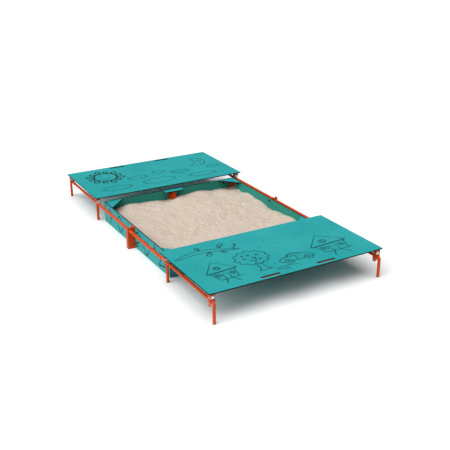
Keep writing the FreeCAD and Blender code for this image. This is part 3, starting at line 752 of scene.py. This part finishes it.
@dataclass(frozen=True)
class Router:
    """The V-shaped cutter that draws on the boards."""

    width: float = 9.5 * MM
    depth: float = 2.6 * MM
    smoothness: int = 4

    def cutter(self, grooves: list[Groove], plane: Matrix) -> Piece:
        """A closed solid that fills all the grooves.

        Args:
            grooves: The lines, in millimetres.
            plane: Turns across, up and outwards into the frame, and moves to the board's face.

        Returns:
            An object whose mesh is a diamond-shaped tube along each line.
        """
        curve = bpy.data.curves.new("cutter", "CURVE")
        curve.dimensions = "3D"
        curve.twist_mode = "Z_UP"
        curve.bevel_depth = self.width / 2
        curve.bevel_resolution = 0
        curve.resolution_u = self.smoothness
        curve.use_fill_caps = True
        for groove in grooves:
            spline = curve.splines.new("NURBS" if groove.smooth else "POLY")
            spline.points.add(len(groove.points) - 1)
            for point, (across, up) in zip(spline.points, groove.points):
                point.co = (across * MM, up * MM, 0.0, 1.0)
                point.radius = groove.heavy
            spline.use_cyclic_u = groove.closed
            if groove.smooth:
                spline.order_u = 3
                spline.use_endpoint_u = not groove.closed
        drawn = add_object("cutter", curve)
        mesh = evaluated(drawn)
        bpy.data.objects.remove(drawn)
        mesh.transform(plane @ Matrix.Diagonal((1, 1, 2 * self.depth / self.width, 1)))
        return self.as_cutter(mesh)

    @staticmethod
    def as_cutter(mesh: bpy.types.Mesh) -> Piece:
        """Makes a mesh a cutting object that leaves the core's material behind it."""
        mesh.materials.clear()
        for _ in range(2):
            mesh.materials.append(None)
        mesh.polygons.foreach_set("material_index", [1] * len(mesh.polygons))
        return add_object("cutter", mesh)


def cut(piece: Piece, cutters: list[Piece]) -> None:
    """Cuts each cutter out of a piece for good, and removes the cutters."""
    for cutter in cutters:
        tool = piece.modifiers.new("cut", "BOOLEAN")
        tool.operation = "DIFFERENCE"
        tool.solver = "EXACT"
        tool.use_self = True
        tool.object = cutter
        done = evaluated(piece)
        piece.modifiers.remove(tool)
        old = piece.data
        piece.data = done
        done.name = old.name + "_cut"
        bpy.data.meshes.remove(old)
        bpy.data.objects.remove(cutter)
        log.info("%s after a cut: %d faces", piece.name, len(done.polygons))


# --- boards ---


@dataclass
class Board:
    """One rectangular laminate board with sawn, slightly eased edges."""

    node: str
    thickness: Axis
    corner: float = 0.0
    eased: float = 0.9 * MM
    corner_steps: int = 6
    inner: bool = False         # whether the face towards the middle of the box takes the darker laminate with painted shade

    def shape(self) -> Shape:
        """The board's solid, in the box of its CAD node.

        Returns:
            A closed bmesh: its faces across the thickness have material 0, its edges 1 and its inner
            face, which takes the darker laminate with painted shade, 2.
        """
        low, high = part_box(self.node)
        shape = block((low + high) / 2, high - low)
        if self.corner:
            ease(shape, self.edges_along(shape, True), self.corner, self.corner_steps)
        self.trim(shape, low, high)
        ease(shape, self.edges_along(shape, False), self.eased)
        inwards = -math.copysign(1, (low + high)[self.thickness.value])
        for face in shape.faces:
            across = face.normal[self.thickness.value]
            face.material_index = 0 if abs(across) > ALIGNED else 1
            # The face towards the middle takes material 2, the darker laminate with painted shade.
            if self.inner and across * inwards > ALIGNED:
                face.material_index = 2
        return shape

    def trim(self, shape: Shape, low: Vector, high: Vector) -> None:
        """Leaves a rectangular board as it is."""

    def edges_along(self, shape: Shape, through: bool) -> list[bmesh.types.BMEdge]:
        """The edges that run through the thickness, or those round the two faces."""
        axis = self.thickness.value
        runs = {edge: (edge.verts[1].co - edge.verts[0].co).normalized() for edge in shape.edges}
        return [edge for edge, run in runs.items() if (abs(run[axis]) > ALIGNED) == through]

    def build(self, finishes: Finishes) -> Piece:
        """Makes the board as a piece that stands for its CAD node."""
        # The inner face's material is the darker laminate with painted shade.
        coats = [finishes.laminate, finishes.core] + [finishes.painted_shade_laminate] * self.inner
        return make_piece(f"{self.node}_board", self.shape(), coats, BODY_OF_NODE[self.node],
                          (self.node,))


@dataclass
class CornerSeat(Board):
    """A three-cornered seat board with blunted tips."""

    tip: float = 12 * MM

    def trim(self, shape: Shape, low: Vector, high: Vector) -> None:
        """Cuts the long edge of the triangle off the square that it comes from."""
        middle = (low + high) / 2
        away = Vector((-math.copysign(1, middle.x), -math.copysign(1, middle.y), 0))
        half = (high.x - low.x) / 2
        point = middle + Vector((away.x * half, -away.y * (half - self.tip), 0))
        geom = shape.verts[:] + shape.edges[:] + shape.faces[:]
        sawn = bmesh.ops.bisect_plane(shape, geom=geom, plane_co=point, plane_no=away.normalized(),
                                      clear_outer=True)["geom_cut"]
        bmesh.ops.holes_fill(shape, edges=[item for item in sawn if isinstance(item, bmesh.types.BMEdge)])


@dataclass
class CoverPanel(Board):
    """A cover's board with its drawing and two hand slots."""

    end: str = "front"
    slot_length: float = 0.238
    slot_width: float = 0.036
    slot_corner: float = 8 * MM
    slot_steps: int = 4
    router: Router = field(default_factory=Router)

    def slot_cutters(self) -> list[Piece]:
        """One rounded block for each hand slot, where the record has its opening."""
        low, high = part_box(self.node)
        cutters = []
        for opening in frame["record"]["physics"]["openings"]:
            if not (opening["name"].startswith(self.end) and opening["name"].endswith("hand_slot")):
                continue
            first, second = (Vector(corner) for corner in opening["box_m"])
            centre = (first + second) / 2
            shape = block(Vector((centre.x, centre.y, (low.z + high.z) / 2)),
                          Vector((self.slot_width, self.slot_length, 3 * (high.z - low.z))))
            ease(shape, self.edges_along(shape, True), self.slot_corner, self.slot_steps)
            cutters.append(Router.as_cutter(to_mesh("slot", shape)))
        return cutters

    def build(self, finishes: Finishes) -> Piece:
        """Makes the panel, cuts the slots and routs the drawing."""
        panel = super().build(finishes)
        low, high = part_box(self.node)
        middle = (low + high) / 2
        plane = Matrix(((0, -1, 0, middle.x), (1, 0, 0, middle.y), (0, 0, 1, high.z), (0, 0, 0, 1)))
        drawing = TownDrawing() if self.end == "front" else SkyDrawing()
        cut(panel, self.slot_cutters() + [self.router.cutter(drawing.grooves(), plane)])
        return panel


@dataclass
class SideWall(Board):
    """A side wall, drawn on along its outside."""

    side: int = -1
    router: Router = Router(15 * MM, 3.6 * MM)

    def build(self, finishes: Finishes) -> Piece:
        """Makes the wall and routs its drawing."""
        wall = super().build(finishes)
        low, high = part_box(self.node)
        face = low.y if self.side < 0 else high.y
        plane = Matrix(((-self.side, 0, 0, 0), (0, 0, self.side, face), (0, 1, 0, low.z), (0, 0, 0, 1)))
        cut(wall, [self.router.cutter(MeadowDrawing().grooves(), plane)])
        return wall


@dataclass
class Boards:
    """Every laminate board of the box and its covers."""

    cover_corner: float = 6 * MM
    wall_corner: float = 3 * MM
    end_wall_corner: float = 0.5 * MM

    def build(self, finishes: Finishes) -> None:
        """Builds the walls, seats and covers."""
        SideWall("left_wall", Axis.Y, self.wall_corner, inner=True, side=-1).build(finishes)
        SideWall("right_wall", Axis.Y, self.wall_corner, inner=True, side=1).build(finishes)
        for end in ("front", "rear"):
            Board(f"{end}_wall", Axis.X, self.end_wall_corner, inner=True).build(finishes)
            Board(f"{end}_middle_seat", Axis.Z, self.wall_corner).build(finishes)
            CoverPanel(f"{end}_cover_panel", Axis.Z, self.cover_corner, end=end).build(finishes)
            for side in ("left", "right"):
                CornerSeat(f"{end}_{side}_corner_seat", Axis.Z).build(finishes)


# --- steel ---


@dataclass
class Steelwork:
    """The rails, legs, brackets, carriages and beams, dressed in powder coat, and their welds."""

    tube: float = 0.035
    bead: float = 3 * MM
    bead_sides: int = 8
    bead_steps: int = 48
    ripples: int = 36
    ripple_height: float = 0.35 * MM
    smooth: float = 60          # degrees
    steel_ends: tuple[str, ...] = ("rail", "leg", "bracket", "post", "carriage", "beam")

    def dress(self, finishes: Finishes) -> None:
        """Gives every steel CAD node the powder coat."""
        for name, node in frame["nodes"].items():
            if name.endswith(self.steel_ends):
                node.data.materials.clear()
                node.data.materials.append(finishes.steel)
                log.info("%s: powder coated", name)

    def build(self, finishes: Finishes) -> None:
        """Adds the weld bead round the top of each inner leg."""
        for end in ("front", "rear"):
            for side in ("left", "right"):
                self.weld(f"{end}_{side}_inner_leg", f"{side}_guide_rail", finishes)

    def weld(self, leg: str, rail: str, finishes: Finishes) -> None:
        """A bead that follows the saddle between a leg and the rail above it.

        Args:
            leg: The leg's CAD node.
            rail: The rail's CAD node.
            finishes: All the finishes.
        """
        low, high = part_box(leg)
        centre = (low + high) / 2
        radius = self.tube / 2
        axis_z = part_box(rail)[1].z - radius
        shape = bmesh.new()
        upright = Matrix.Translation((radius, 0, 0)) @ Matrix.Rotation(math.pi / 2, 4, "X")
        bmesh.ops.create_circle(shape, segments=self.bead_sides, radius=self.bead, matrix=upright)
        bmesh.ops.spin(shape, geom=shape.verts[:] + shape.edges[:], cent=(0, 0, 0), axis=(0, 0, 1),
                       angle=math.tau, steps=self.bead_steps, use_merge=True)
        bmesh.ops.remove_doubles(shape, verts=shape.verts, dist=0.001 * MM)
        for vertex in shape.verts:
            turn = math.atan2(vertex.co.y, vertex.co.x)
            across = min(abs(radius * math.sin(turn)), radius * 0.999)
            ripple = self.ripple_height * math.sin(self.ripples * turn)
            vertex.co.z += axis_z - math.sqrt(radius ** 2 - across ** 2) + ripple
            vertex.co.x += centre.x
            vertex.co.y += centre.y
        bmesh.ops.recalc_face_normals(shape, faces=shape.faces)
        make_piece(f"{leg}_weld", shape, [finishes.steel], "root", (), self.smooth)


# --- rollers ---


@dataclass
class Rollers:
    """Grooved nylon rollers with rounded rims and dished sides."""

    rail_radius: float = 17.8 * MM
    groove: float = 3 * MM
    rounding: float = 2 * MM
    bore: float = 5.05 * MM
    hub: float = 11 * MM
    dish: float = 3 * MM
    steps: int = 56
    groove_steps: int = 7       # from the middle of the groove to its edge
    smooth: float = 40          # degrees

    def profile(self, half: float, rim: float, waist: float) -> list[Point]:
        """The ring of points that is turned about the axle.

        Args:
            half: Half the roller's width.
            rim: Radius of the rims.
            waist: Radius at the bottom of the groove.

        Returns:
            Radius and height of each point.
        """
        centre = waist + self.rail_radius
        lip = math.sqrt(self.rail_radius ** 2 - (centre - rim + 0.8 * MM) ** 2)
        heights = [lip * i / self.groove_steps for i in range(-self.groove_steps, self.groove_steps + 1)]
        groove = [(centre - math.sqrt(self.rail_radius ** 2 - height ** 2), height) for height in heights]
        outside = [(rim, lip + 1.2 * MM), (rim, half - self.rounding), (rim - 0.6 * MM, half - 0.6 * MM),
                   (rim - self.rounding, half), (rim - 4 * MM, half), (rim - 5.5 * MM, half - self.dish),
                   (self.hub + 1.5 * MM, half - self.dish), (self.hub, half), (self.bore, half)]
        mirrored = [(radius, -height) for radius, height in outside]
        return groove + outside + mirrored[::-1]

    def build(self, finishes: Finishes) -> None:
        """Turns one roller for each CAD roller."""
        for name in sorted(frame["nodes"]):
            if not name.endswith("_roller"):
                continue
            low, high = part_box(name)
            half, rim = (high.y - low.y) / 2, (high.z - low.z) / 2
            shape = bmesh.new()
            turned_profile(shape, self.profile(half, rim, rim - self.groove), self.steps, closed=True)
            shape.transform(facing(Vector((0, 1, 0)), (low + high) / 2))
            make_piece(f"{name}_nylon", shape, [finishes.nylon], BODY_OF_NODE[name], (name,),
                       self.smooth)


# --- fasteners ---


@dataclass
class Fasteners:
    """Capped wall bolts, axle bolts with lock nuts, screws under the boards and foot caps."""

    shank: float = 4 * MM
    axle: float = 5 * MM
    # Heights of the CAD's heads, as shares of their radius.
    cap_height: float = 8 / 11
    axle_head_height: float = 8 / 9
    screw_head_height: float = 4 / 6
    round_steps: int = 28
    smooth: float = 35          # degrees

    def cap(self, radius: float, height: float) -> Shape:
        """A two-part safety cap: a washer skirt, a groove and a snap-on dome."""
        shape = bmesh.new()
        r, h = radius, height
        turned_profile(shape, [(0, 0), (r, 0), (r, 0.22 * h), (0.965 * r, 0.3 * h), (0.9 * r, 0.32 * h),
                               (0.89 * r, 0.38 * h), (0.86 * r, 0.55 * h), (0.76 * r, 0.74 * h),
                               (0.58 * r, 0.89 * h), (0.32 * r, 0.975 * h), (0, h)], self.round_steps)
        return shape

    def hexagon(self, flats: float, height: float, washer: float, thick: float) -> Shape:
        """A hexagonal head with chamfered corners on a washer, standing on z = 0."""
        shape = column(washer, 0, thick, self.round_steps)
        ease(shape, shape.edges[:], 0.15 * thick)
        head = column(flats / math.sqrt(3), thick, height, 6)
        top = [edge for edge in head.edges if min(vertex.co.z for vertex in edge.verts) > thick + 0.1 * MM]
        ease(head, top, 0.12 * height)
        add_part(shape, head, Matrix())
        return shape

    def rod(self, radius: float, length: float) -> Shape:
        """A plain shank from z = 0 upwards, its ends slightly chamfered."""
        shape = column(radius, 0, length, 20)
        ends = [edge for edge in shape.edges if abs(edge.verts[0].co.z - edge.verts[1].co.z) < MM]
        ease(shape, ends, 0.1 * radius, 1)
        return shape

    def capped_bolts(self, node: str, finishes: Finishes) -> None:
        """Red caps outside and black ones inside, with the shank between, for a node of bolts."""
        outside, inside, shanks = bmesh.new(), bmesh.new(), bmesh.new()
        for low, high in solid_boxes(node):
            span = high - low
            along = max(range(3), key=lambda i: span[i])
            direction = Vector((0, 0, 0))
            direction[along] = math.copysign(1, (low + high)[along])
            middle = (low + high) / 2
            radius = (span[0] + span[1] + span[2] - span[along]) / 4
            height = radius * self.cap_height
            half = span[along] / 2
            for target, toward, grown, domed in ((outside, direction, 1.3, 1.0),
                                                 (inside, -direction, 1.35, 1.6)):
                add_part(target, self.cap(grown * radius, domed * height),
                         facing(toward, middle + toward * (half - height)))
            reach = half - height / 2
            add_part(shanks, self.rod(self.shank, 2 * reach), facing(direction, middle - direction * reach))
        for kind, shape, finish, slot, replaces in (
                ("outer_caps", outside, finishes.caps, Slot.CAPS, (node,)),
                ("inner_caps", inside, finishes.black_caps, Slot.DARK_PLASTIC, ()),
                ("shanks", shanks, finishes.zinc, Slot.ZINC, ())):
            make_piece(f"{node}_{kind}", shape, [finish], "root", replaces, self.smooth)

    def make_hexagons(self, node: str, shape: Shape, finishes: Finishes) -> None:
        """Makes a node's hexagon bolts or screws a piece that stands for it."""
        make_piece(f"{node}_hexagons", shape, [finishes.zinc], BODY_OF_NODE[node], (node,),
                   self.smooth)

    def axle_bolts(self, node: str, finishes: Finishes) -> None:
        """A hexagon bolt through each carriage, its lock nut on the inner side."""
        made = bmesh.new()
        for low, high in solid_boxes(node):
            middle = (low + high) / 2
            half = (high.y - low.y) / 2
            outward = Vector((0, math.copysign(1, middle.y), 0))
            radius = (high.z - low.z) / 2
            height = radius * self.axle_head_height
            grip = half - height
            head, nut = (self.hexagon(1.66 * radius, 0.8 * height, radius, 0.22 * height) for _ in range(2))
            turned_profile(nut, [(0, 0.7 * height), (0.66 * radius, 0.7 * height),
                                 (0.64 * radius, 0.92 * height), (0.5 * radius, height), (0, height)], 24)
            add_part(made, head, facing(outward, middle + outward * grip))
            add_part(made, nut, facing(-outward, middle - outward * grip))
            add_part(made, self.rod(self.axle, 2 * grip), facing(outward, middle - outward * grip))
        self.make_hexagons(node, made, finishes)

    def board_screws(self, node: str, finishes: Finishes) -> None:
        """Hexagon washer-head screws driven up into the boards."""
        made = bmesh.new()
        for low, high in solid_boxes(node):
            middle = (low + high) / 2
            radius = (high.x - low.x) / 2
            height = radius * self.screw_head_height
            top = Vector((middle.x, middle.y, low.z + height))
            head = self.hexagon(1.3 * radius, height, radius, 0.3 * height)
            add_part(made, head, facing(Vector((0, 0, -1)), top))
            add_part(made, self.rod(radius / 2, high.z - top.z), Matrix.Translation(top))
        self.make_hexagons(node, made, finishes)

    def foot_caps(self, finishes: Finishes) -> None:
        """Ribbed plastic caps plugged into the legs."""
        made = bmesh.new()
        for low, high in solid_boxes("foot_caps"):
            radius, height = (high.x - low.x) / 2, high.z - low.z
            flange = height / 4
            cap = bmesh.new()
            profile = [(0, 0), (0.9 * radius, 0), (radius, 0.2 * flange), (radius, 0.8 * flange),
                       (0.96 * radius, flange), (0.85 * radius, flange)]
            plug = 0.85 * radius
            for rib in range(3):
                base = flange + (height - flange) * (0.1 + 0.3 * rib)
                profile += [(0.93 * plug, base), (plug, base + 0.6 * MM), (plug, base + 1.6 * MM),
                            (0.93 * plug, base + 2.2 * MM)]
            profile += [(0.93 * plug, height - 1 * MM), (0.87 * plug, height), (0, height)]
            turned_profile(cap, profile, 32)
            middle = (low + high) / 2
            add_part(made, cap, Matrix.Translation((middle.x, middle.y, low.z)))
        # The caps' dark maroon finish is painted contact shadow at the legs' feet.
        make_piece("foot_caps_ribbed", made, [finishes.feet], "root", ("foot_caps",),
                   self.smooth)

    def build(self, finishes: Finishes) -> None:
        """Builds every fastener of the box and the covers."""
        for node in ("wall_bolts", "bracket_bolts"):
            self.capped_bolts(node, finishes)
        self.board_screws("seat_screws", finishes)
        for end in ("front", "rear"):
            for kind in ("axle", "hook"):
                self.axle_bolts(f"{end}_{kind}_bolts", finishes)
            self.board_screws(f"{end}_cover_screws", finishes)
        self.foot_caps(finishes)


# --- sand ---


@dataclass
class SandFill:
    """The fill, heaped in soft waves with hand and foot prints all over."""

    cells: int = 250
    wave: float = 0.4
    wave_height: float = 30 * MM
    drift: float = 23 * MM      # waves along the rear and right walls
    drift_length: float = 0.95
    drift_reach: float = 0.3
    drift_starts: Point = (0.6, 0.46)       # where the rear and right drifts' waves begin
    calm: float = 0.7           # share of the waves that a drift smooths away
    lump: float = 0.16
    lump_height: float = 9 * MM
    crumb: float = 0.035
    crumb_height: float = 3.2 * MM
    prints: int = 90
    heap: float = 16 * MM       # the middle above the sides
    heap_mean: float = 0.45     # share of the heap that is taken off everywhere
    print_reach: float = 1.9    # of a print's rim, in radii
    smooth: float = 50          # degrees

    def dents(self, half: Vector) -> list[tuple[Vector, float, float]]:
        """Where the prints are: centre, radius and depth of each, in metres."""
        chance = random.Random(SEED)
        found = []
        for _ in range(self.prints):
            centre = Vector((chance.uniform(-1, 1) * half.x, chance.uniform(-1, 1) * half.y, 0))
            found.append((centre, chance.uniform(0.03, 0.085), chance.uniform(3, 9) * MM))
        return found

    def ripple(self, along: float) -> float:
        """A long wave with a shorter one on it, at a distance along a wall."""
        turn = math.tau * along / self.drift_length
        return 0.85 * math.cos(turn) + 0.35 * math.cos(2.7 * turn + 0.8)

    def dent(self, far: float) -> float:
        """A print's depth at a distance in radii: a bowl with a low rim pushed up round it."""
        return math.exp(-2.2 * far ** 2) - 0.38 * math.exp(-9 * (far - 1.15) ** 2)

    def level(self, at: Vector, half: Vector, dents: list[tuple[Vector, float, float]]) -> float:
        """The surface's height above the mean at a point.

        Args:
            at: The point, with the middle of the pit as its origin.
            half: Half the pit's length and width.
            dents: The prints.

        Returns:
            Metres above or below the mean surface.
        """
        flat = Vector((at.x, at.y, 0))
        up = self.wave_height * noise.noise(flat / self.wave + Vector((3.1, 7.7, 0.4)))
        rear = math.exp(-((at.x + half.x) / self.drift_reach) ** 2)
        right = math.exp(-((at.y - half.y) / self.drift_reach) ** 2)
        up *= 1 - self.calm * max(rear, right)
        up += self.drift * rear * self.ripple(at.y + self.drift_starts[0])
        up += self.drift * right * (1 - rear) * self.ripple(at.x + self.drift_starts[1])
        up += self.lump_height * noise.fractal(flat / self.lump, 0.9, 2.1, 3)
        up += self.crumb_height * noise.fractal(flat / self.crumb, 0.8, 2.0, 3)
        up += self.heap * ((1 - (at.x / half.x) ** 2) * (1 - (at.y / half.y) ** 2) - self.heap_mean)
        for centre, radius, depth in dents:
            far = (flat - centre).length / radius
            if far < self.print_reach:
                up -= depth * self.dent(far)
        return up

    def build(self, finishes: Finishes) -> None:
        """Makes the fill as one closed solid."""
        low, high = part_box("sand")
        middle = (low + high) / 2
        half = (high - low) / 2
        shape = bmesh.new()
        bmesh.ops.create_grid(shape, x_segments=self.cells, y_segments=self.cells, size=1.0)
        dents = self.dents(half)
        for vertex in shape.verts:
            at = Vector((vertex.co.x * half.x, vertex.co.y * half.y, 0))
            vertex.co = (middle.x + at.x, middle.y + at.y, high.z + self.level(at, half, dents))
        rim = [edge for edge in shape.edges if edge.is_boundary]
        skirt = bmesh.ops.extrude_edge_only(shape, edges=rim)["geom"]
        for vertex in [item for item in skirt if isinstance(item, bmesh.types.BMVert)]:
            vertex.co.z = low.z
        bottom = [item for item in skirt if isinstance(item, bmesh.types.BMEdge)]
        bmesh.ops.holes_fill(shape, edges=bottom)
        bmesh.ops.recalc_face_normals(shape, faces=shape.faces)
        make_piece("sand_fill", shape, [finishes.sand], "root", ("sand",), self.smooth)


# --- studio ---


@dataclass
class Studio:
    """The floor, the lights and the camera."""

    floor_size: float = 140.0
    floor_gap: float = 0.5 * MM     # below the feet
    view_end: float = 200.0
    camera_place: tuple[float, float, float] = (7.901, -4.250, 3.8135)
    azimuth: float = 60.105
    elevation: float = 22.561
    lens: float = 59.6
    sensor: float = 36.0
    sky: float = 0.18
    lamps: tuple[tuple[str, float, float, tuple[float, float, float]], ...] = (
        ("overhead", 2.15, 56.0, (0.15, 0.0, 1.0)), ("left", 3.0, 66.0, (0.1, -1.15, 1.0)))

    def build(self, finishes: Finishes) -> None:
        """Builds the floor, then the lights and the camera."""
        shape = bmesh.new()
        bmesh.ops.create_grid(shape, x_segments=6, y_segments=6, size=self.floor_size / 2,
                              matrix=Matrix.Translation((0, 0, -self.floor_gap)))
        mesh = to_mesh("floor", shape)
        mesh.materials.append(finishes.paper)
        add_object("floor", mesh)
        self.lights()
        self.camera()

    def lights(self) -> None:
        """A white surround and two very broad soft lights, from above and from the left."""
        world = bpy.data.worlds.new("surround")
        world.use_nodes = True
        background = world.node_tree.nodes["Background"]
        background.inputs["Color"].default_value = linear("#FFFFFF")
        background.inputs["Strength"].default_value = self.sky
        bpy.context.scene.world = world
        bpy.context.scene.view_settings.view_transform = "Standard"
        for name, power, spread, source in self.lamps:
            light = bpy.data.lights.new(name, "SUN")
            light.energy = power
            light.angle = math.radians(spread)
            lamp = add_object(name, light)
            lamp.rotation_euler = Vector(source).to_track_quat("Z", "Y").to_euler()

    def camera(self) -> None:
        """The camera, looking down on the near left corner of the front cover."""
        data = bpy.data.cameras.new("camera")
        data.lens = self.lens
        data.sensor_width = self.sensor
        data.clip_end = self.view_end
        camera = add_object("camera", data)
        camera.location = self.camera_place
        camera.rotation_euler = (math.radians(90 - self.elevation), 0, math.radians(self.azimuth))
        bpy.context.scene.camera = camera


def main() -> None:
    """Builds every sub-assembly in order."""
    logging.basicConfig(level=logging.INFO, format="%(name)s %(message)s")
    finishes = Finishes()
    Boards().build(finishes)
    steel = Steelwork()
    steel.dress(finishes)
    steel.build(finishes)
    Rollers().build(finishes)
    Fasteners().build(finishes)
    SandFill().build(finishes)
    Studio().build(finishes)


if __name__ == "__main__":
    main()
